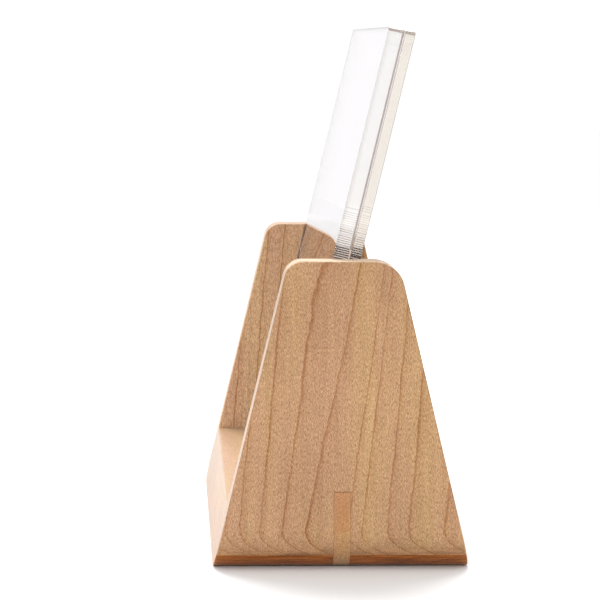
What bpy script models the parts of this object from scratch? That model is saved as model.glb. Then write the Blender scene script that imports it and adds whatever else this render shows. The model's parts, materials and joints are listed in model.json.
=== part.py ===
"""Pick holder: a mitred wooden cradle with two clear sheets standing in a slanted groove.

Units are metres. +X runs along the holder, -Y is its front and +Z is up. The origin is the
centre of the underside. The front edges, the groove and the sheets all lean back together.
"""

import math

import bmesh
import bpy
from mathutils import Vector

# Wooden cradle
LENGTH = 0.130              # over both end panels
WIDTH = 0.050               # across the foot, front to back
HEIGHT = 0.060              # up to the end panels' top edge
TOP_WIDTH = 0.0213          # across that top edge, before its corners are rounded
PANEL_THICK = 0.008
BASE_THICK = 0.0125
HEEL_RADIUS = 0.008         # round-over where an end panel turns into the underside
FRONT_TOP_RADIUS = 0.0037
REAR_TOP_RADIUS = 0.006

# Corner keys: splines glued into a saw cut across each mitre
KEY_SLOT = 0.0035           # width of the cut
KEY_REACH = 0.0154          # from the corner, both up the end and along the underside

# Clear sheets and their groove
FRONT_SHEET_THICK = 0.003
REAR_SHEET_THICK = 0.002
SHEET_HEIGHT = 0.0993
REAR_SHEET_EXTRA = 0.0001   # the rear sheet is cut this much taller
SETBACK = 0.0088            # front sheet's face behind the sloped front edges, along Y
GROOVE_FLOOR = 0.008        # height of the groove's floor at the front sheet's face
PANEL_GROOVE = 0.002        # depth of the groove in the end panels' inner faces

GAP = 0.0003                # clearance between neighbouring pieces
OVERCUT = 0.010             # how far a cutter runs past what it cuts
ARC_STEPS = 12
WELD = 0.00001

# Derived positions
END_X = LENGTH / 2
INNER_X = END_X - PANEL_THICK
SLOPE = (WIDTH - TOP_WIDTH) / 2 / HEIGHT
LEAN = math.atan(SLOPE)
SEAT_Y = -WIDTH / 2 + SETBACK + SLOPE * GROOVE_FLOOR
SHEET_LENGTH = 2 * (INNER_X + PANEL_GROOVE - GAP)
STACK_THICK = FRONT_SHEET_THICK + GAP + REAR_SHEET_THICK
HEEL_CENTRE = Vector((END_X - HEEL_RADIUS, HEEL_RADIUS))

# Turns a flat outline drawn in X and Y so that its second axis points up
FACING_SIDE = (math.pi / 2, 0, 0)               # drawn in X and Z, thick along Y
FACING_END = (math.pi / 2, 0, math.pi / 2)      # drawn in Y and Z, thick along X

WOOD = (0.58, 0.36, 0.20, 1)
WOOD_KEY = (0.50, 0.28, 0.14, 1)
CLEAR = (0.95, 0.96, 0.98, 1)


def empty_scene():
    """Remove every object of the scene that the script was started in."""
    for obj in list(bpy.data.objects):
        bpy.data.objects.remove(obj, do_unlink=True)


def new_collection(name):
    """A collection linked to the scene."""
    collection = bpy.data.collections.new(name)
    bpy.context.scene.collection.children.link(collection)
    return collection


def new_material(name, color, roughness, transmission=0.0):
    """A Principled material with one plain colour."""
    material = bpy.data.materials.new(name)
    material.use_nodes = True
    material.diffuse_color = color
    shader = material.node_tree.nodes["Principled BSDF"]
    shader.inputs["Base Color"].default_value = color
    shader.inputs["Roughness"].default_value = roughness
    shader.inputs["Metallic"].default_value = 0.0
    shader.inputs["Transmission Weight"].default_value = transmission
    return material


def arc(centre, radius, start, end):
    """Points on a circle from one angle to another, both ends included."""
    points = []
    for step in range(ARC_STEPS + 1):
        angle = start + (end - start) * step / ARC_STEPS
        points.append(centre + radius * Vector((math.cos(angle), math.sin(angle))))
    return points


def rounded_corner(corner, before, after, radius):
    """Points of the arc that rounds a corner between its two neighbouring points."""
    to_before = (before - corner).normalized()
    to_after = (after - corner).normalized()
    half_angle = to_before.angle(to_after) / 2
    centre = corner + (to_before + to_after).normalized() * (radius / math.sin(half_angle))
    foot = corner + to_before * (radius / math.tan(half_angle)) - centre
    start = math.atan2(foot.y, foot.x)
    return arc(centre, radius, start, start + math.pi - 2 * half_angle)


def as_mesh(guide):
    """The welded mesh of a filled curve, in the curve's place."""
    bpy.context.view_layer.update()
    depsgraph = bpy.context.evaluated_depsgraph_get()
    mesh = bpy.data.meshes.new_from_object(guide.evaluated_get(depsgraph))
    welded = bmesh.new()
    welded.from_mesh(mesh)
    bmesh.ops.remove_doubles(welded, verts=welded.verts, dist=WELD)
    welded.to_mesh(mesh)
    welded.free()
    return mesh


def plate(name, outline, thickness, facing, collection):
    """A flat plate with the given outline, centred on its own plane."""
    curve = bpy.data.curves.new(name, "CURVE")
    curve.dimensions = "2D"
    curve.fill_mode = "BOTH"
    curve.extrude = thickness / 2
    spline = curve.splines.new("POLY")
    spline.points.add(len(outline) - 1)
    for point, place in zip(spline.points, outline):
        point.co = (place.x, place.y, 0, 1)
    spline.use_cyclic_u = True
    guide = bpy.data.objects.new(name + "_outline", curve)
    guide.rotation_euler = facing
    collection.objects.link(guide)
    mesh = as_mesh(guide)
    solid = bpy.data.objects.new(name, mesh)
    solid.matrix_world = guide.matrix_world.copy()
    collection.objects.link(solid)
    bpy.data.objects.remove(guide)
    return solid


def block(name, size, centre, collection):
    """A box of the given size, with its centre away from the object's origin."""
    mesh = bpy.data.meshes.new(name)
    solid = bmesh.new()
    bmesh.ops.create_cube(solid, size=1)
    bmesh.ops.scale(solid, vec=size, verts=solid.verts)
    bmesh.ops.translate(solid, vec=centre, verts=solid.verts)
    solid.to_mesh(mesh)
    solid.free()
    box = bpy.data.objects.new(name, mesh)
    collection.objects.link(box)
    return box


def as_cutter(solid):
    """Mark a solid as a tool that shapes others and isn't a piece itself."""
    solid.hide_render = True
    solid.display_type = "WIRE"
    return solid


def cut(solid, cutter, operation="DIFFERENCE"):
    """Shape a solid with a cutter."""
    boolean = solid.modifiers.new(cutter.name, "BOOLEAN")
    boolean.operation = operation
    boolean.solver = "EXACT"
    boolean.object = cutter


def mirrored(points, side):
    """Outline points on the +X side, or their mirror image on the -X side."""
    return [Vector((side * point.x, point.y)) for point in points]


def end_outline():
    """The cradle seen from its end: a trapezoid with rounded top corners."""
    front_foot = Vector((-WIDTH / 2, 0))
    rear_foot = Vector((WIDTH / 2, 0))
    rear_top = Vector((TOP_WIDTH / 2, HEIGHT))
    front_top = Vector((-TOP_WIDTH / 2, HEIGHT))
    outline = [front_foot, rear_foot]
    outline += rounded_corner(rear_top, rear_foot, front_top, REAR_TOP_RADIUS)
    outline += rounded_corner(front_top, rear_top, front_foot, FRONT_TOP_RADIUS)
    return outline


def mitre_joint(offset):
    """Ends of the mitre cut at +X, moved towards the panel by an offset.

    Returns where it meets the inner corner's upright, where it meets the floor of the cradle,
    and the angle at which it leaves through the rounded heel.
    """
    along = Vector((PANEL_THICK, -BASE_THICK)).normalized()
    normal = Vector((-along.y, along.x))
    start = Vector((INNER_X, BASE_THICK)) + normal * offset
    on_upright = start + along * ((INNER_X - start.x) / along.x)
    on_floor = start + along * ((BASE_THICK - start.y) / along.y)
    to_start = start - HEEL_CENTRE
    drop = to_start.dot(along)
    run = -drop + math.sqrt(drop ** 2 - to_start.length_squared + HEEL_RADIUS ** 2)
    leave = to_start + along * run
    return on_upright, on_floor, math.atan2(leave.y, leave.x)


def panel_outline():
    """The end panel at +X seen from the front, standing on its mitre."""
    on_upright, _, heel_angle = mitre_joint(GAP / 2)
    outline = [Vector((INNER_X, HEIGHT + OVERCUT)), on_upright]
    outline += arc(HEEL_CENTRE, HEEL_RADIUS, heel_angle, 0)
    outline.append(Vector((END_X, HEIGHT + OVERCUT)))
    return outline


def base_outline():
    """The base board seen from the front, with a mitre at each end."""
    _, on_floor, heel_angle = mitre_joint(-GAP / 2)
    half = arc(HEEL_CENTRE, HEEL_RADIUS, -math.pi / 2, heel_angle) + [on_floor]
    return half + mirrored(reversed(half), -1)


def key_outline():
    """The corner key at +X seen from the front, flush with the heel it crosses."""
    outline = [Vector((END_X - KEY_REACH, 0))]
    outline += arc(HEEL_CENTRE, HEEL_RADIUS, -math.pi / 2, 0)
    outline.append(Vector((END_X, KEY_REACH)))
    return outline


def key_slot_outline():
    """The saw cut for the key at +X, run out past the corner."""
    reach = KEY_REACH + GAP * math.sqrt(2)
    return [
        Vector((END_X - reach - OVERCUT, -OVERCUT)),
        Vector((END_X + OVERCUT, -OVERCUT)),
        Vector((END_X + OVERCUT, reach + OVERCUT)),
    ]


def sheet_seat(collection):
    """An empty on the groove's floor at the front sheet's face, leaning with the sheets."""
    seat = bpy.data.objects.new("sheet_seat", None)
    seat.location = (0, SEAT_Y, GROOVE_FLOOR)
    seat.rotation_euler = (-LEAN, 0, 0)
    collection.objects.link(seat)
    return seat


def groove(name, length, seat, cutters):
    """A cutter for the slanted groove, as wide as the two sheets and their clearances."""
    tall = HEIGHT + OVERCUT
    size = (length, STACK_THICK + 2 * GAP, tall)
    cutter = block(name, size, (0, STACK_THICK / 2, tall / 2), cutters)
    cutter.parent = seat
    return as_cutter(cutter)


def sheet(name, thickness, front, height, seat, collection, material):
    """A clear sheet in the groove, its origin at the foot of its mid-plane."""
    size = (SHEET_LENGTH, thickness, height)
    piece = block(name, size, (0, 0, height / 2), collection)
    piece.location = (0, front + thickness / 2, GAP)
    piece.parent = seat
    piece.data.materials.append(material)
    return piece


def build():
    """Make the cradle, its keys and the two sheets."""
    empty_scene()
    holder = new_collection("pick_holder")
    cutters = new_collection("cutters")
    seat = sheet_seat(holder)

    outer_shape = as_cutter(
        plate("outer_shape", end_outline(), LENGTH + 2 * OVERCUT, FACING_END, cutters))
    base_groove = groove("base_groove", LENGTH + 2 * OVERCUT, seat, cutters)
    panel_groove = groove("panel_groove", 2 * (INNER_X + PANEL_GROOVE), seat, cutters)

    base = plate("base_board", base_outline(), WIDTH + 2 * OVERCUT, FACING_SIDE, holder)
    base.data.materials.append(new_material("base_wood", WOOD, 0.5))
    cut(base, outer_shape, "INTERSECT")
    cut(base, base_groove)

    for side, hand in ((1, "right"), (-1, "left")):
        slot = as_cutter(plate(
            hand + "_key_slot", mirrored(key_slot_outline(), side), KEY_SLOT, FACING_SIDE, cutters))
        cut(base, slot)

        panel = plate(hand + "_end_panel", mirrored(panel_outline(), side),
                      WIDTH + 2 * OVERCUT, FACING_SIDE, holder)
        panel.data.materials.append(new_material(hand + "_panel_wood", WOOD, 0.5))
        cut(panel, outer_shape, "INTERSECT")
        cut(panel, panel_groove)
        cut(panel, slot)

        key = plate(hand + "_corner_key", mirrored(key_outline(), side),
                    KEY_SLOT - 2 * GAP, FACING_SIDE, holder)
        key.data.materials.append(new_material(hand + "_key_wood", WOOD_KEY, 0.5))

    sheet("front_sheet", FRONT_SHEET_THICK, 0, SHEET_HEIGHT, seat, holder,
          new_material("front_sheet_clear", CLEAR, 0.05, transmission=1.0))
    sheet("rear_sheet", REAR_SHEET_THICK, FRONT_SHEET_THICK + GAP,
          SHEET_HEIGHT + REAR_SHEET_EXTRA, seat, holder,
          new_material("rear_sheet_clear", CLEAR, 0.05, transmission=1.0))
    bpy.context.view_layer.update()


build()
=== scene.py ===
import json
import math
import random

import bmesh
import bpy
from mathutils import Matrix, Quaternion, Vector


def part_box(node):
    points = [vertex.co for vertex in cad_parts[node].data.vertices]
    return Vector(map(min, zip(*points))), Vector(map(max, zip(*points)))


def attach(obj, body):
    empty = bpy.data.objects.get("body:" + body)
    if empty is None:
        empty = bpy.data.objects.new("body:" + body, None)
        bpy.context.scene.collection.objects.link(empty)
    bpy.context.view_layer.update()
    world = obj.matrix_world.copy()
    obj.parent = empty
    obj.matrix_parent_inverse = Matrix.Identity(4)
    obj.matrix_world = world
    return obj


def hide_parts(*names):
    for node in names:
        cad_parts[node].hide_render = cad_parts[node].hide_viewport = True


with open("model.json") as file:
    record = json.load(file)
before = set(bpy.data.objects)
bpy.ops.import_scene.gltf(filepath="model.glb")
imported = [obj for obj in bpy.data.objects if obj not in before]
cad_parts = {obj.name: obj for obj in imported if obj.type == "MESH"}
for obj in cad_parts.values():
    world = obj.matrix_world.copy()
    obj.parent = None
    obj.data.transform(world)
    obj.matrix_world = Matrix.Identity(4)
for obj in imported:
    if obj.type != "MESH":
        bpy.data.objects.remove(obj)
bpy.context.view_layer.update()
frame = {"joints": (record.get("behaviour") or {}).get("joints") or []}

# ---------------------------------------------------------------- sizes, in metres
MM = 0.001
PANEL_LOW, PANEL_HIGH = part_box("right_end_panel")
BASE_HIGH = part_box("base_board")[1]
KEY_LOW, KEY_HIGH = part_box("right_corner_key")
LIFT_AXIS = Vector(frame["joints"][0]["axis"]).normalized()

END_X = PANEL_HIGH.x
INNER_X = PANEL_LOW.x
FOOT_Y = BASE_HIGH.y
TOP_Z = PANEL_HIGH.z
FLOOR_Z = BASE_HIGH.z                     # the cradle's own floor, on top of the base board
BACK = Vector((0, LIFT_AXIS.z, -LIFT_AXIS.y))         # square to the sheets, to their rear
SLOPE = LIFT_AXIS.y / LIFT_AXIS.z         # the front edges lean back with the sheets
KEY_REACH = KEY_HIGH.z - KEY_LOW.z

HEEL_RADIUS = END_X - INNER_X             # the round-over is as deep as the panel is thick
FRONT_TOP_RADIUS = 3.7 * MM
REAR_TOP_RADIUS = 6.0 * MM
EDGE_RADIUS = 0.35 * MM                   # sanded edges
EDGE_FACETS = 3
KEY_THICK = 3.2 * MM
GLUE_LINE = 0.04 * MM
KEY_END_GAP = 0.12 * MM                   # the saw cut runs a little past the key
GROOVE_SIDE = 0.15 * MM                   # clearance beside the sheets
MARGIN = 10 * MM                          # how far a cutter runs past what it cuts
WELD_DISTANCE = 0.001 * MM
ARC_STEPS = 28
FLAT_ANGLE = math.radians(0.5)            # faces that meet within this count as one
CORNER_ANGLE = math.radians(30)           # edges sharper than this are sanded round
SMOOTH_ANGLE = math.radians(35)           # edges sharper than this are shaded sharp


# ---------------------------------------------------------------- mesh building
def arc(centre, radius, start, end):
    """Points on a circle from one angle to another, both ends included."""
    points = []
    for step in range(ARC_STEPS + 1):
        angle = start + (end - start) * step / ARC_STEPS
        points.append(centre + radius * Vector((math.cos(angle), math.sin(angle))))
    return points


def rounded_corner(corner, before, after, radius):
    """Points of the arc that rounds a corner between its two neighbours."""
    to_before = (before - corner).normalized()
    to_after = (after - corner).normalized()
    half_angle = to_before.angle(to_after) / 2
    centre = corner + (to_before + to_after).normalized() * (radius / math.sin(half_angle))
    foot = corner + to_before * (radius / math.tan(half_angle)) - centre
    start = math.atan2(foot.y, foot.x)
    return arc(centre, radius, start, start + math.pi - 2 * half_angle)


def prism(name, outline, depth, place):
    """A solid with a flat outline, half its depth to each side; place() maps it into space."""
    shape = bmesh.new()
    caps = []
    for side in (-depth / 2, depth / 2):
        ring = [shape.verts.new(place(point.x, point.y, side)) for point in outline]
        caps.append(ring)
        shape.faces.new(ring)
    for i in range(len(outline)):
        j = (i + 1) % len(outline)
        shape.faces.new((caps[0][i], caps[0][j], caps[1][j], caps[1][i]))
    bmesh.ops.recalc_face_normals(shape, faces=shape.faces)
    return to_object(name, shape)


def to_object(name, shape):
    """Turn a bmesh into an object in the scene."""
    mesh = bpy.data.meshes.new(name)
    shape.to_mesh(mesh)
    shape.free()
    made = bpy.data.objects.new(name, mesh)
    bpy.context.scene.collection.objects.link(made)
    return made


def seen_from_front(x, z, depth):
    """An outline drawn in X and Z, thick along Y."""
    return Vector((x, depth, z))


def seen_from_end(y, z, depth):
    """An outline drawn in Y and Z, thick along X."""
    return Vector((depth, y, z))


def copy_of(solid, name):
    """An independent copy of a solid."""
    twin = bpy.data.objects.new(name, solid.data.copy())
    bpy.context.scene.collection.objects.link(twin)
    return twin


def combine(solid, tool, operation="DIFFERENCE"):
    """Shape a solid with a tool, and make the result its mesh."""
    boolean = solid.modifiers.new("shape", "BOOLEAN")
    boolean.operation = operation
    boolean.solver = "EXACT"
    boolean.object = tool
    bpy.context.view_layer.update()
    depsgraph = bpy.context.evaluated_depsgraph_get()
    mesh = bpy.data.meshes.new_from_object(solid.evaluated_get(depsgraph))
    solid.modifiers.clear()
    solid.data = mesh
    return solid


def discard(*objects):
    """Remove tools that have done their work."""
    for used in objects:
        bpy.data.objects.remove(used, do_unlink=True)


def soften_edges(solid):
    """Round every outward edge of a solid, as sanding does."""
    shape = bmesh.new()
    shape.from_mesh(solid.data)
    bmesh.ops.remove_doubles(shape, verts=shape.verts, dist=WELD_DISTANCE)
    bmesh.ops.dissolve_limit(shape, angle_limit=FLAT_ANGLE, verts=shape.verts, edges=shape.edges)
    sharp = [edge for edge in shape.edges
             if edge.is_manifold and edge.is_convex and edge.calc_face_angle() > CORNER_ANGLE]
    bmesh.ops.bevel(shape, geom=sharp, offset=EDGE_RADIUS, offset_type="OFFSET",
                    segments=EDGE_FACETS, profile=0.5, affect="EDGES", clamp_overlap=True)
    shape.to_mesh(solid.data)
    shape.free()


def shade(piece):
    """Smooth shading that keeps flat faces flat and steep edges sharp."""
    piece.data.shade_smooth()
    piece.data.set_sharp_from_angle(angle=SMOOTH_ANGLE)
    weighted = piece.modifiers.new("flat_faces", "WEIGHTED_NORMAL")
    weighted.keep_sharp = True
    weighted.weight = 100                 # big faces count for the most


def finish_piece(piece, node, body, slot, *materials):
    """Give a piece its materials, hang it on its body and hide the solid it stands for."""
    for material in materials:
        piece.data.materials.append(material)
    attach(piece, body)
    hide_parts(node)


# ---------------------------------------------------------------- node building
class Nodes:
    """Short calls that add nodes to a material and hand back their output sockets."""

    def __init__(self, material):
        material.use_nodes = True
        self.tree = material.node_tree
        self.shader = self.tree.nodes["Principled BSDF"]

    def feed(self, socket, value):
        """Connect a socket, or set it when the value is a plain number or tuple."""
        if isinstance(value, bpy.types.NodeSocket):
            self.tree.links.new(value, socket)
        else:
            socket.default_value = value

    def position(self):
        """Where a point is in the piece's own space, which is the frame's."""
        return self.tree.nodes.new("ShaderNodeTexCoord").outputs["Object"]

    def normal(self):
        """The surface's direction in the piece's own space."""
        return self.tree.nodes.new("ShaderNodeTexCoord").outputs["Normal"]

    def math(self, operation, first, second=0.0, third=0.0):
        node = self.tree.nodes.new("ShaderNodeMath")
        node.operation = operation
        for socket, value in zip(node.inputs, (first, second, third)):
            self.feed(socket, value)
        return node.outputs[0]

    def dot(self, vector, direction):
        node = self.tree.nodes.new("ShaderNodeVectorMath")
        node.operation = "DOT_PRODUCT"
        self.feed(node.inputs[0], vector)
        node.inputs[1].default_value = direction
        return node.outputs["Value"]

    def join(self, x, y, z):
        node = self.tree.nodes.new("ShaderNodeCombineXYZ")
        for socket, value in zip(node.inputs, (x, y, z)):
            self.feed(socket, value)
        return node.outputs[0]

    def noise(self, vector, detail=2.0, distortion=0.0):
        node = self.tree.nodes.new("ShaderNodeTexNoise")
        self.feed(node.inputs["Vector"], vector)
        node.inputs["Scale"].default_value = 1.0
        node.inputs["Detail"].default_value = detail
        node.inputs["Distortion"].default_value = distortion
        return node.outputs["Fac"]

    def spread(self, value, low, high, new_low=0.0, new_high=1.0, smooth=True):
        """Map a range onto another, clamped, with eased ends."""
        node = self.tree.nodes.new("ShaderNodeMapRange")
        node.interpolation_type = "SMOOTHSTEP" if smooth else "LINEAR"
        for socket, number in zip(node.inputs, (value, low, high, new_low, new_high)):
            self.feed(socket, number)
        return node.outputs["Result"]

    def curve(self, value, points):
        """A smooth curve through points whose two numbers both run from 0 to 1."""
        node = self.tree.nodes.new("ShaderNodeFloatCurve")
        self.feed(node.inputs["Value"], value)
        line = node.mapping.curves[0]
        for x, y in points[1:-1]:
            line.points.new(x, y)
        line.points[0].location = points[0]
        line.points[-1].location = points[-1]
        node.mapping.update()
        return node.outputs["Value"]

    def ramp(self, value, low, high, tones, smooth=True):
        """A colour between two, as a value runs from low to high."""
        return self.mix(self.spread(value, low, high, smooth=smooth), *tones)

    def multiply(self, first, second):
        """One colour times another."""
        return self.mix(1.0, first, second, "MULTIPLY")

    def mix(self, share, first, second, blend="MIX"):
        node = self.tree.nodes.new("ShaderNodeMix")
        node.data_type = "RGBA"
        node.blend_type = blend
        node.clamp_factor = True
        self.feed(node.inputs["Factor"], share)
        self.feed(node.inputs["A"], first)
        self.feed(node.inputs["B"], second)
        return node.outputs["Result"]

    def bump(self, height, distance, strength):
        node = self.tree.nodes.new("ShaderNodeBump")
        self.feed(node.inputs["Height"], height)
        node.inputs["Distance"].default_value = distance
        node.inputs["Strength"].default_value = strength
        return node.outputs["Normal"]


# ---------------------------------------------------------------- wood
PLAIN = (1, 1, 1, 1)
EARLY_WOOD = (0.385, 0.229, 0.124, 1)
LATE_WOOD = (0.268, 0.119, 0.047, 1)
OILED_END = (0.285, 0.088, 0.017, 1)      # end grain takes up oil and turns dark
SANDED_END = (0.335, 0.172, 0.080, 1)
DULL_END = (0.290, 0.190, 0.122, 1)
PAINTED_LIGHT_END = (0.520, 0.370, 0.250, 1)       # painted light: end grain facing up takes this pale tone, as if lit from above

# Tones that multiply the wood's colour, each from one to the other
BAND_TONES = ((1.03, 1.05, 0.93, 1), (0.98, 0.93, 0.95, 1))
# these tones carry both clouds in the wood and the painted bounce light towards the foot
CLOUD_AND_PAINTED_BOUNCE_TONES = ((0.90, 0.89, 0.88, 1), (1.10, 1.11, 1.12, 1))
THREAD_TONES = ((0.95, 0.94, 0.93, 1), (1.05, 1.06, 1.07, 1))
FLECK_TONES = ((0.60, 0.56, 0.52, 1), (1.40, 1.44, 1.48, 1))
LAYER_TONES = ((0.64, 0.60, 0.56, 1), (1.36, 1.40, 1.44, 1))
END_RING_TONES = (PLAIN, (0.62, 0.62, 0.62, 1))

# Noise drawn out along the grain: how fine it is across and along, per metre, and where it starts
SLOW_WAVER = (90, 60, 2.7)
FAST_WAVER = (700, 380, 5.1)
FADING = (90, 70, 8.1)
FLECKS = (7800, 1900, 0.0)
THREADS = (1500, 60, 3.3)
BANDS = (260, 14, 6.4)
CLOUDS = (75, 45, 9.2)
LAYERS_ALONG = 130                        # end grain shows thin layers, one behind another
LAYERS_DEEP = 2600                        # going into the board

# Where growth rings reach the outer face, counted across it from its centre, at the foot
RING_LINES_MM = (-55, -51, -47, -42.5, -38, -34.5, -30, -26.5, -22.8, -20, -16.1, -11.7, -7.4,
                 0.5, 3.4, 8.4, 12.6, 19.5, 25, 30)
RING_TURN = 3.3                           # how far a ring shifts across, for each depth into the board
FOOT_HEIGHT = 7 * MM
SIDE_LEAN = 0.08                          # how far a ring shifts across, for each rise
CENTRE_LEAN = 0.12                        # and how much further in the middle
MEAN_LEAN = 0.12
LEAN_CENTRE = -4.5 * MM
LEAN_WIDTH = 7 * MM
SLOW_REACH = 1.1 * MM                     # how far rings waver
FAST_REACH = 0.6 * MM
RING_START = 0.035                        # parts of a ring: where its dark line is full,
LINE_FULL = 0.05                          # where the line starts to clear,
LINE_END = 0.13                           # where it ends,
GLOW_END = 0.55                           # and where the shade behind it ends
GLOW = 0.20
PAINTED_BOUNCE_RATE = -7.0                             # how soon the wood is painted paler towards the foot, painted bounce light from the floor
END_FROM = 0.35                           # how far the grain points out where end grain starts,
BOARD_END_FROM = 0.1                      # on the base board,
KEY_END_FROM = 0.6                        # and on the keys
END_SPAN = 0.35                           # over this much more the long grain gives way to it
FIBRE_DEPTH = 0.012 * MM
FAR_PANEL_SHIFT = 3.1 * MM                # the panels and keys are from different boards
KEY_SHIFT = 20 * MM
# painted light: brightens the far panel all over, for light its inner face misses
FAR_PANEL_PAINTED_LIGHT = (1.29, 1.33, 1.41, 1)
KEY_TINT = (1.11, 1.03, 0.95, 1)


def ring_phase(nodes, across):
    """Growth rings as whole numbers, from a distance across the board."""
    low = RING_LINES_MM[0] * MM
    high = RING_LINES_MM[-1] * MM
    count = len(RING_LINES_MM) - 1
    points = [((line * MM - low) / (high - low), ring / count)
              for ring, line in enumerate(RING_LINES_MM)]
    share = nodes.spread(across, low, high, smooth=False)
    return nodes.math("MULTIPLY", nodes.curve(share, points), count)


def streaks(nodes, place, fineness, **settings):
    """Noise drawn out along the grain."""
    side, deep, grain = place
    per_metre, along_per_metre, offset = fineness
    return nodes.noise(nodes.join(
        nodes.math("MULTIPLY", side, per_metre), nodes.math("MULTIPLY_ADD", deep, per_metre, offset),
        nodes.math("MULTIPLY", grain, along_per_metre)), **settings)


def wavering(nodes, place, fineness, reach, start):
    """A distance pushed to and fro by noise."""
    noise = nodes.math("SUBTRACT", streaks(nodes, place, fineness), 0.5)
    return nodes.math("MULTIPLY_ADD", noise, reach, start)


def late_wood(nodes, place, rise):
    """How much of the dark late wood shows: each ring's thin line, and a shade behind it.

    Rings lean across the face, most of all near its centre, and waver. The dark line fades in
    and out along the grain.
    """
    side, deep, grain = place
    turned = nodes.math("MULTIPLY_ADD", deep, -RING_TURN, side)
    rough_side = nodes.math("MULTIPLY_ADD", rise, -MEAN_LEAN, turned)
    off_centre = nodes.math("DIVIDE", nodes.math("SUBTRACT", rough_side, LEAN_CENTRE), LEAN_WIDTH)
    bell = nodes.math("EXPONENT", nodes.math("MULTIPLY", nodes.math("POWER", off_centre, 2), -1))
    lean = nodes.math("MULTIPLY_ADD", bell, CENTRE_LEAN, SIDE_LEAN)
    straight = nodes.math("SUBTRACT", turned, nodes.math("MULTIPLY", lean, rise))
    wavy = wavering(nodes, (turned, deep, grain), SLOW_WAVER, SLOW_REACH, straight)
    ragged = wavering(nodes, place, FAST_WAVER, FAST_REACH, wavy)
    phase = ring_phase(nodes, ragged)
    part = nodes.math("FRACT", phase)

    starting = nodes.spread(part, 0.0, RING_START)
    line = nodes.math("MULTIPLY", starting, nodes.spread(part, LINE_END, LINE_FULL))
    glow = nodes.math("MULTIPLY", starting, nodes.spread(part, GLOW_END, 0.0))
    faint = streaks(nodes, (nodes.math("MULTIPLY", phase, 0.02), deep, grain), FADING)
    strength = nodes.spread(faint, 0.3, 0.7, 0.38, 0.88)
    return nodes.math("MULTIPLY_ADD", glow, GLOW, nodes.math("MULTIPLY", line, strength))


def long_grain(nodes, place, rise, late):
    """The face's colour along the grain, painted paler towards the foot as painted bounce light from
    the floor.
    """
    # clouds in the wood, plus painted bounce light that makes it paler towards the foot
    clouds_and_painted_bounce = nodes.math("MULTIPLY_ADD", rise, PAINTED_BOUNCE_RATE, streaks(nodes, place, CLOUDS, detail=3))
    color = nodes.mix(late, EARLY_WOOD, LATE_WOOD)
    for layer in (
        nodes.ramp(streaks(nodes, place, BANDS), 0.3, 0.7, BAND_TONES),
        nodes.ramp(clouds_and_painted_bounce, 0.1, 0.7, CLOUD_AND_PAINTED_BOUNCE_TONES, smooth=False),
        nodes.ramp(streaks(nodes, place, THREADS), 0.3, 0.7, THREAD_TONES),
    ):
        color = nodes.multiply(color, layer)
    return color


def end_grain(nodes, place, late, tone):
    """The colour across the grain, with its rings still to be seen."""
    side, deep, grain = place
    layered = nodes.noise(nodes.join(
        nodes.math("MULTIPLY", side, LAYERS_ALONG), nodes.math("MULTIPLY", deep, LAYERS_DEEP),
        nodes.math("MULTIPLY", grain, LAYERS_ALONG)))
    ringed = nodes.multiply(tone, nodes.ramp(late, 0.0, 0.9, END_RING_TONES))
    return nodes.multiply(ringed, nodes.ramp(layered, 0.3, 0.7, LAYER_TONES))


def wood(name, across, depth, along, end_tone=OILED_END, far_end_tone=None, end_from=END_FROM,
         tint=PLAIN, shift=0.0):
    """Solid wood whose growth rings, fibres and end grain follow one board.

    across and along are directions over the board's face, depth is the direction into it and
    the place of its outer face. The far end is the one that along points to.
    """
    material = bpy.data.materials.new(name)
    nodes = Nodes(material)
    point = nodes.position()
    side = nodes.math("ADD", nodes.dot(point, across), shift)
    deep = nodes.math("ADD", nodes.dot(point, depth[0]), depth[1])
    grain = nodes.dot(point, along)
    place = (side, deep, grain)
    rise = nodes.math("SUBTRACT", grain, FOOT_HEIGHT)
    late = late_wood(nodes, place, rise)
    fleck = streaks(nodes, place, FLECKS, detail=1, distortion=0.6)

    facing = nodes.dot(nodes.normal(), along)
    end_share = nodes.spread(nodes.math("ABSOLUTE", facing), end_from, end_from + END_SPAN)
    # end grain facing up can take its own tone; on the near panel it is painted light from above
    tone = nodes.mix(nodes.spread(facing, 0.0, 0.3), end_tone, far_end_tone or end_tone)
    color = nodes.mix(end_share, long_grain(nodes, place, rise, late),
                      end_grain(nodes, place, late, tone))
    color = nodes.multiply(color, nodes.ramp(fleck, 0.28, 0.72, FLECK_TONES, smooth=False))
    # a tint over everything; on the far panel it is painted light
    if tint != PLAIN:
        color = nodes.multiply(color, tint)

    nodes.feed(nodes.shader.inputs["Base Color"], color)
    sheen = nodes.spread(fleck, 0.2, 0.8, 0.42, 0.32, smooth=False)
    nodes.feed(nodes.shader.inputs["Roughness"], nodes.math("MULTIPLY_ADD", end_share, 0.4, sheen))
    nodes.shader.inputs["Specular IOR Level"].default_value = 0.15
    nodes.shader.inputs["Sheen Weight"].default_value = 0.10
    nodes.shader.inputs["Sheen Roughness"].default_value = 0.4
    relief = nodes.math("MULTIPLY_ADD", late, -0.5, fleck)
    nodes.feed(nodes.shader.inputs["Normal"], nodes.bump(relief, FIBRE_DEPTH, 0.5))
    return material


# ---------------------------------------------------------------- clear plastic
ACRYLIC_IOR = 1.49
HAZE = (60, 60, 0.0)


def clear_plastic(name, tint, clearness, haze_high):
    """Clear acrylic, slightly hazy in places, or frosted where it is less clear."""
    material = bpy.data.materials.new(name)
    nodes = Nodes(material)
    point = nodes.position()
    place = tuple(nodes.dot(point, axis) for axis in ((1, 0, 0), (0, 1, 0), (0, 0, 1)))
    haze = streaks(nodes, place, HAZE)
    nodes.shader.inputs["Base Color"].default_value = tint
    nodes.shader.inputs["Transmission Weight"].default_value = clearness
    nodes.shader.inputs["IOR"].default_value = ACRYLIC_IOR
    nodes.feed(nodes.shader.inputs["Roughness"], nodes.spread(haze, 0.3, 0.7, 0.0, haze_high))
    return material


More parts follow.
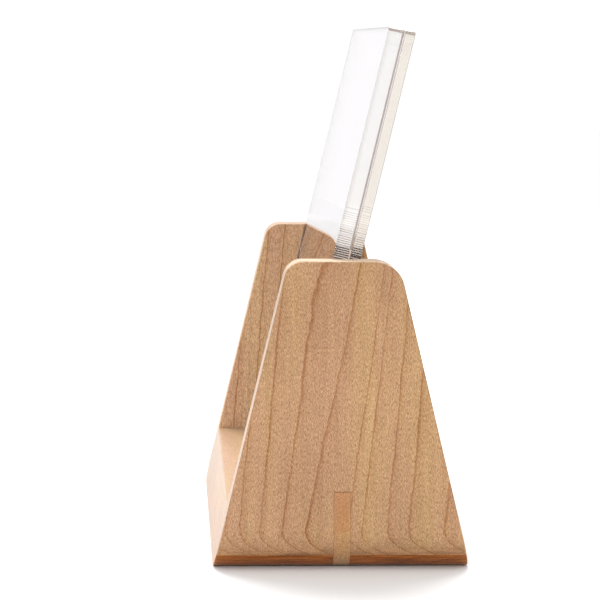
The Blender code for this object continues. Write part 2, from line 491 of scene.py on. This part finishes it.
# ---------------------------------------------------------------- the wooden cradle
def end_outline():
    """The cradle seen from its end: a trapezoid with rounded top corners."""
    front_foot = Vector((-FOOT_Y, 0))
    rear_foot = Vector((FOOT_Y, 0))
    top_y = FOOT_Y - SLOPE * TOP_Z
    rear_top = Vector((top_y, TOP_Z))
    front_top = Vector((-top_y, TOP_Z))
    outline = [front_foot, rear_foot]
    outline += rounded_corner(rear_top, rear_foot, front_top, REAR_TOP_RADIUS)
    outline += rounded_corner(front_top, rear_top, front_foot, FRONT_TOP_RADIUS)
    return outline


def cradle_outline():
    """The cradle seen from the front: a U with round heels, open past its top."""
    heel = Vector((END_X - HEEL_RADIUS, HEEL_RADIUS))
    right = arc(heel, HEEL_RADIUS, -math.pi / 2, 0)
    right += [Vector((END_X, TOP_Z + MARGIN)), Vector((INNER_X, TOP_Z + MARGIN)),
              Vector((INNER_X, FLOOR_Z))]
    return right + [Vector((-point.x, point.y)) for point in reversed(right)]


def board_outline():
    """Everything between the two mitre cuts, seen from the front, run out past the cradle."""
    low = Vector((END_X, 0))
    high = Vector((INNER_X, FLOOR_Z))
    along = (high - low).normalized()
    inset = GLUE_LINE / 2 * high.y / (high - low).length
    bottom = low - along * MARGIN - Vector((inset, 0))
    top = high + along * MARGIN - Vector((inset, 0))
    return [Vector((-bottom.x, bottom.y)), bottom, top, Vector((-top.x, top.y))]


def key_outline(reach, side):
    """A corner key or its saw cut, seen from the front, run out past the corner."""
    return [
        Vector((side * (END_X - reach - MARGIN), -MARGIN)),
        Vector((side * (END_X + MARGIN), -MARGIN)),
        Vector((side * (END_X + MARGIN), reach + MARGIN)),
    ]


def sheet_shape(node):
    """Thickness, height and the place of the front foot of a leaning sheet, from its box."""
    low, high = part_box(node)
    size = high - low
    sine, cosine = LIFT_AXIS.y, LIFT_AXIS.z
    double_cosine = cosine ** 2 - sine ** 2           # the cosine of twice the lean
    thick = (size.y * cosine - size.z * sine) / double_cosine
    tall = (size.z * cosine - size.y * sine) / double_cosine
    foot = Vector((0, low.y, low.z + thick * sine))
    return thick, tall, foot


def groove_tool():
    """The slanted slot that both sheets stand in, as long as they are."""
    _, _, front_foot = sheet_shape("front_sheet")
    rear_thick, _, rear_foot = sheet_shape("rear_sheet")
    stack = (rear_foot - front_foot).dot(BACK) + rear_thick
    corner = front_foot - GROOVE_SIDE * BACK - GROOVE_SIDE * LIFT_AXIS
    wide = stack + 2 * GROOVE_SIDE
    outline = [Vector((0, 0)), Vector((wide, 0)), Vector((wide, TOP_Z)), Vector((0, TOP_Z))]
    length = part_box("front_sheet")[1].x * 2 + 2 * GROOVE_SIDE

    def place(across, up, along):
        return corner + BACK * across + LIFT_AXIS * up + Vector((along, 0, 0))

    return prism("groove_tool", outline, length, place)


def half_outline(side):
    """Everything on one side of the cradle's middle, seen from the front."""
    far = side * 2 * END_X
    return [Vector((0, -MARGIN)), Vector((far, -MARGIN)), Vector((far, TOP_Z + MARGIN)),
            Vector((0, TOP_Z + MARGIN))]


def saw_corner(cradle, panels, base, hand, side):
    """One end panel and its key, with the key's saw cut also made in the base board."""
    slot = prism("slot", key_outline(KEY_REACH + KEY_END_GAP, side),
                 KEY_THICK + 2 * GLUE_LINE, seen_from_front)
    half = prism("half", half_outline(side), 4 * FOOT_Y, seen_from_front)
    blank = prism("blank", key_outline(KEY_REACH, side), KEY_THICK, seen_from_front)
    panel = combine(copy_of(panels, hand + "_end_panel_wood"), half, "INTERSECT")
    combine(panel, slot)
    combine(base, slot)
    key = combine(copy_of(cradle, hand + "_corner_key_wood"), blank, "INTERSECT")
    discard(slot, half, blank)
    return panel, key


def build_cradle():
    """Shape the whole cradle first, then saw it into its boards and keys, so that they meet flush."""
    cradle = prism("cradle", cradle_outline(), 2 * FOOT_Y + 2 * MARGIN, seen_from_front)
    ends = prism("ends", end_outline(), 2 * END_X + 2 * MARGIN, seen_from_end)
    combine(cradle, ends, "INTERSECT")
    soften_edges(cradle)
    groove = groove_tool()
    board = prism("board", board_outline(), 2 * FOOT_Y + 2 * MARGIN, seen_from_front)

    base = combine(copy_of(cradle, "base_board_wood"), board, "INTERSECT")
    combine(base, groove)
    panels = combine(copy_of(cradle, "panels"), board)
    combine(panels, groove)

    pieces = {"base_board": base}
    for hand, side in (("right", 1), ("left", -1)):
        panel, key = saw_corner(cradle, panels, base, hand, side)
        pieces[hand + "_end_panel"] = panel
        pieces[hand + "_corner_key"] = key
    discard(cradle, ends, groove, board, panels)
    return pieces


# ---------------------------------------------------------------- the clear sheets
CUT_PITCH = 0.43 * MM                     # spacing of the laser's marks along a cut edge
CUT_DEPTH = 0.026 * MM
CALM_DEPTH = 0.15                         # how deep the marks are where the edge is smooth, as a share
TOP_DEPTH = 0.25                          # and how deep near the top
LOW_MARKS_REACH = 9 * MM                  # the marks get calmer over this height above the panel
TOP_MARKS_DROP = 4 * MM                   # how far below the top they get deeper again
TOP_MARKS_REACH = 2.5 * MM
CLEAR_RISE = 2.5 * MM                     # up to here above the panel the whole edge is clear,
STRONG_RISE = (4 * MM, 7 * MM)            # up to somewhere in this range its marks are,
FAINT_RISE = (9 * MM, 11.5 * MM)          # and up to somewhere in this one they are faintly so
CLEAR_HALF = 0.2                          # how far from a mark's middle it is clear
UNEVEN = 0.4                              # how much marks vary in depth
SKEW = 0.15                               # and in shape
CUT_STEPS = 6                             # points that shape one mark
CORNER_RADIUS = 0.7 * MM
CORNER_STEPS = 6
EDGE_STEPS = 4                            # bands that round a melted edge
FACE, CUT, FAINT_CUT, CLEAR_CUT, MELTED = range(5)    # a sheet's material slots
FACE_TINT = (0.952, 0.914, 0.945, 1)
# partly real, partly painted: the clear edge near the panel refracts the wood, and this brown tint
# adds painted reflection of it
CLEAR_CUT_PAINTED_REFLECTION = (0.92, 0.80, 0.71, 1)
CUT_CLEARNESS = 0.4                       # the rest of what light does there is to scatter
FAINT_CLEARNESS = 0.6
MELTED_CLEARNESS = 0.3
FACE_HAZE = 0.01
CUT_HAZE = 0.05


def mark_at(height, emerge, tall, draw):
    """How deep one mark of the laser is, how far from its middle it is clear, and how clear.

    Down in the groove the edge is dull. Just above it marks are deep and clear. Higher up they
    are frosted, with fewer and fewer clear in the middle, and a little deeper near the top.
    """
    above = height - emerge
    low_marks = math.exp(-(max(0.0, above) / LOW_MARKS_REACH) ** 2)
    top_marks = TOP_DEPTH * math.exp(-((tall - TOP_MARKS_DROP - height) / TOP_MARKS_REACH) ** 2)
    share = CALM_DEPTH + (1 - CALM_DEPTH) * max(low_marks, top_marks)
    clear = CLEAR_HALF if draw.uniform(*FAINT_RISE) > above else 0.0
    slot = CLEAR_CUT if draw.uniform(*STRONG_RISE) > above else FAINT_CUT
    if above < CLEAR_RISE:
        clear = 0.5
    if above < 0:
        slot = MELTED
    return CUT_DEPTH * draw.uniform(1 - UNEVEN, 1 + UNEVEN) * share, clear, slot


def laser_edge(start, end, inward, emerge, tall, draw):
    """A cut edge with the laser's fine uneven ripples: points, the way in from each, its slot."""
    count = round((end - start).length / CUT_PITCH)
    along = (end - start) / count
    points = []
    for mark in range(count):
        depth, clear, clear_slot = mark_at((start + along * mark).y, emerge, tall, draw)
        skew = draw.uniform(-SKEW, SKEW)
        for step in range(CUT_STEPS):
            share = step / CUT_STEPS
            ripple = depth * (1 - math.cos(2 * math.pi * share)) / 2
            shifted = share + skew * share * (1 - share)
            slot = clear_slot if abs(share + 0.5 / CUT_STEPS - 0.5) < clear else CUT
            points.append((start + along * (mark + shifted) + inward * ripple, inward, slot))
    return points


def sheet_outline(half, tall, emerge, draw):
    """A sheet's cut outline, seen square on, with small round corners."""
    corners = [Vector((-half, 0)), Vector((half, 0)), Vector((half, tall)), Vector((-half, tall))]
    ways = [Vector((1, 0)), Vector((0, 1)), Vector((-1, 0)), Vector((0, -1))]
    outline = []
    for i in range(4):
        way, inward = ways[i], ways[(i + 1) % 4]
        start = corners[i] + way * CORNER_RADIUS
        end = corners[(i + 1) % 4] - way * CORNER_RADIUS
        outline += laser_edge(start, end, inward, emerge, tall, draw)
        centre = end + inward * CORNER_RADIUS
        for step in range(CORNER_STEPS):
            angle = math.pi / 2 * step / CORNER_STEPS
            out = way * math.sin(angle) - inward * math.cos(angle)
            outline.append((centre + out * CORNER_RADIUS, -out, MELTED))
    return outline


def edge_rings(radius, lip):
    """How far in from the cut and how deep below the face each ring of a melted edge lies."""
    rings = []
    for step in range(EDGE_STEPS + 1):
        turn = math.pi / 2 * step / EDGE_STEPS
        rings.append((radius * (1 - math.sin(turn)),
                      radius * (1 - math.cos(turn)) - lip * math.sin(2 * turn)))
    return rings


def sheet_shell(outline, steps, foot, emerge):
    """A sheet's surface: its outline in steps from the front face to the rear one, and both faces."""
    shape = bmesh.new()
    rings = []
    for inset, depth in steps:
        ring = []
        for point, inward, _ in outline:
            flat = point + inward * inset
            ring.append(shape.verts.new(
                foot + Vector((flat.x, 0, 0)) + LIFT_AXIS * flat.y + BACK * depth))
        rings.append(ring)
    for band in range(len(rings) - 1):
        lower, upper = rings[band], rings[band + 1]
        for i in range(len(outline)):
            j = (i + 1) % len(outline)
            side = shape.faces.new((lower[i], lower[j], upper[j], upper[i]))
            point, _, cut_slot = outline[i]
            melted_slot = CLEAR_CUT if 0 < point.y - emerge < CLEAR_RISE else MELTED
            side.material_index = cut_slot if band == EDGE_STEPS else melted_slot
    for ring in (rings[0], rings[-1]):
        shape.faces.new(ring).material_index = FACE
    bmesh.ops.recalc_face_normals(shape, faces=shape.faces)
    return shape


def sheet_looks(node, cut_tint, melted_painted_shade):
    """A sheet's materials, in the order of its material slots."""
    return (
        clear_plastic(node + "_face", FACE_TINT, 1.0, FACE_HAZE),
        clear_plastic(node + "_cut", cut_tint, CUT_CLEARNESS, CUT_HAZE),
        clear_plastic(node + "_faint_cut", cut_tint, FAINT_CLEARNESS, CUT_HAZE),
        # its brown tint is painted reflection of the wood beside it
        clear_plastic(node + "_clear_cut", CLEAR_CUT_PAINTED_REFLECTION, 1.0, CUT_HAZE),
        # the melted edges' dark tint is painted shade, for the dark lines refraction shows there
        clear_plastic(node + "_melted", melted_painted_shade, MELTED_CLEARNESS, CUT_HAZE),
    )


def build_sheet(node, seed, front_edge, rear_edge, lip, cut_tint, melted_painted_shade):
    """A clear sheet cut out by laser, leaning in the groove.

    Its edges are melted round, and the rear one can stand up in a lip.
    """
    thick, tall, foot = sheet_shape(node)
    emerge = (TOP_Z - foot.z) / LIFT_AXIS.z
    outline = sheet_outline(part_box(node)[1].x, tall, emerge, random.Random(seed))
    steps = edge_rings(front_edge, 0.0)
    steps += [(inset, thick - depth) for inset, depth in reversed(edge_rings(rear_edge, lip))]
    sheet = to_object(node + "_clear", sheet_shell(outline, steps, foot, emerge))
    shade(sheet)
    finish_piece(sheet, node, node, "clear_acrylic", *sheet_looks(node, cut_tint, melted_painted_shade))


# ---------------------------------------------------------------- the studio
AIM = Vector((0, -5.6 * MM, 47.1 * MM))
CAMERA_BACK = 0.643
CAMERA_YAW = math.radians(2.429)
CAMERA_PITCH = math.radians(4.834)
CAMERA_ROLL = math.radians(0.23)
LENS = 181.0
SENSOR_WIDTH = 36
SURROUND = 1.04                           # just brighter than white
KEY_LIGHT = (-0.35, -0.02, 0.60)
KEY_SIZE = 0.4
KEY_WATTS = 6.8
FILL_LIGHT = (0.60, -0.12, 0.25)
FILL_SIZE = 0.15
FILL_WATTS = 1.3
FLOOR_REACH = 3.0
PAPER_NEAR = 0.3                          # the floor is painted greyer up to here from the middle, as painted shade that darkens the holder's shadow,
PAPER_FAR = 0.95                          # and nearly white from here on
PAPER_PAINTED_SHADE = 0.72
PAPER_WHITE = 0.97
LIGHT_BOUNCES = 24                        # light turns back many times in the sheets


def add_camera():
    """A long lens looking along the holder from its right end, a little from the front and above."""
    data = bpy.data.cameras.new("camera")
    data.lens = LENS
    data.sensor_width = SENSOR_WIDTH
    data.dof.use_dof = False
    camera = bpy.data.objects.new("camera", data)
    bpy.context.scene.collection.objects.link(camera)
    forward = Vector((-math.cos(CAMERA_YAW) * math.cos(CAMERA_PITCH),
                      math.sin(CAMERA_YAW) * math.cos(CAMERA_PITCH),
                      -math.sin(CAMERA_PITCH)))
    camera.location = AIM - forward * CAMERA_BACK
    camera.rotation_mode = "QUATERNION"
    roll = Quaternion((0, 0, 1), CAMERA_ROLL)
    camera.rotation_quaternion = forward.to_track_quat("-Z", "Y") @ roll
    bpy.context.scene.camera = camera


def area_light(name, location, size, watts):
    """A soft square light aimed at the holder."""
    data = bpy.data.lights.new(name, "AREA")
    data.shape = "SQUARE"
    data.size = size
    data.energy = watts
    light = bpy.data.objects.new(name, data)
    light.location = location
    light.visible_camera = False
    light.rotation_mode = "QUATERNION"
    light.rotation_quaternion = (AIM - Vector(location)).to_track_quat("-Z", "Y")
    bpy.context.scene.collection.objects.link(light)


def paper():
    """White paper, painted a little greyer near the holder: painted shade that makes its shadow
    darker.
    """
    material = bpy.data.materials.new("paper")
    nodes = Nodes(material)
    point = nodes.position()
    squares = [nodes.math("POWER", nodes.dot(point, axis), 2) for axis in ((1, 0, 0), (0, 1, 0))]
    away = nodes.math("SQRT", nodes.math("ADD", *squares))
    # painted shade: the paper is darker near the holder
    paper_with_painted_shade = nodes.spread(away, PAPER_NEAR, PAPER_FAR, PAPER_PAINTED_SHADE, PAPER_WHITE)
    nodes.feed(nodes.shader.inputs["Base Color"], nodes.join(paper_with_painted_shade, paper_with_painted_shade, paper_with_painted_shade))
    nodes.shader.inputs["Roughness"].default_value = 0.9
    nodes.shader.inputs["Specular IOR Level"].default_value = 0.1
    return material


def add_studio():
    """A paper floor, a white surround and two soft lights."""
    shape = bmesh.new()
    bmesh.ops.create_grid(shape, x_segments=1, y_segments=1, size=FLOOR_REACH)
    floor = to_object("floor", shape)
    floor.data.materials.append(paper())

    world = bpy.data.worlds.new("surround")
    world.use_nodes = True
    backdrop = world.node_tree.nodes["Background"]
    backdrop.inputs["Color"].default_value = PLAIN
    backdrop.inputs["Strength"].default_value = SURROUND
    scene = bpy.context.scene
    scene.world = world

    area_light("key_light", KEY_LIGHT, KEY_SIZE, KEY_WATTS)
    area_light("fill_light", FILL_LIGHT, FILL_SIZE, FILL_WATTS)
    scene.view_settings.view_transform = "Standard"
    for kind in ("max", "glossy", "transmission"):
        setattr(scene.cycles, kind + "_bounces", LIGHT_BOUNCES)


# ---------------------------------------------------------------- put it together
def wooden_looks():
    """A wood material for each wooden node, in the order that they are made."""
    up = Vector((0, 0, 1))
    over = Vector((0, 1, 0))
    to_right = Vector((1, 0, 0))
    looks = {
        # the near panel's top end grain is painted pale: painted light from above
        "right_end_panel": wood("right_panel_oiled", over, (-to_right, END_X), up,
                                SANDED_END, PAINTED_LIGHT_END),
        # the far panel is painted brighter all over: painted light
        "left_end_panel": wood("left_panel_oiled", over, (to_right, END_X), up,
                               SANDED_END, DULL_END, tint=FAR_PANEL_PAINTED_LIGHT, shift=FAR_PANEL_SHIFT),
        "base_board": wood("base_oiled", over, (up, 0.0), -to_right, end_from=BOARD_END_FROM),
    }
    for side, hand in ((1, "right"), (-1, "left")):
        grain = Vector((side, 0, 1)).normalized()
        across_grain = Vector((side, 0, -1)).normalized()
        looks[hand + "_corner_key"] = wood(
            hand + "_key_oiled", across_grain, (over, 0.0), grain,
            end_from=KEY_END_FROM, tint=KEY_TINT, shift=KEY_SHIFT)
    return looks


def main():
    """Build every piece, dress it and light it."""
    pieces = build_cradle()
    looks = wooden_looks()
    for node, piece in pieces.items():
        shade(piece)
        slot = "key_wood" if "key" in node else "cradle_wood"
        finish_piece(piece, node, "cradle", slot, looks[node])
    # the melted tints are painted shade: dark lines that refraction would show at rounded edges
    build_sheet("front_sheet", seed=1, front_edge=0.03 * MM, rear_edge=0.25 * MM, lip=0.2 * MM,
                cut_tint=(0.775, 0.76, 0.75, 1), melted_painted_shade=(0.36, 0.305, 0.275, 1))
    build_sheet("rear_sheet", seed=2, front_edge=0.10 * MM, rear_edge=0.10 * MM, lip=0.0,
                cut_tint=(0.76, 0.715, 0.655, 1), melted_painted_shade=(0.36, 0.30, 0.26, 1))
    add_camera()
    add_studio()


main()
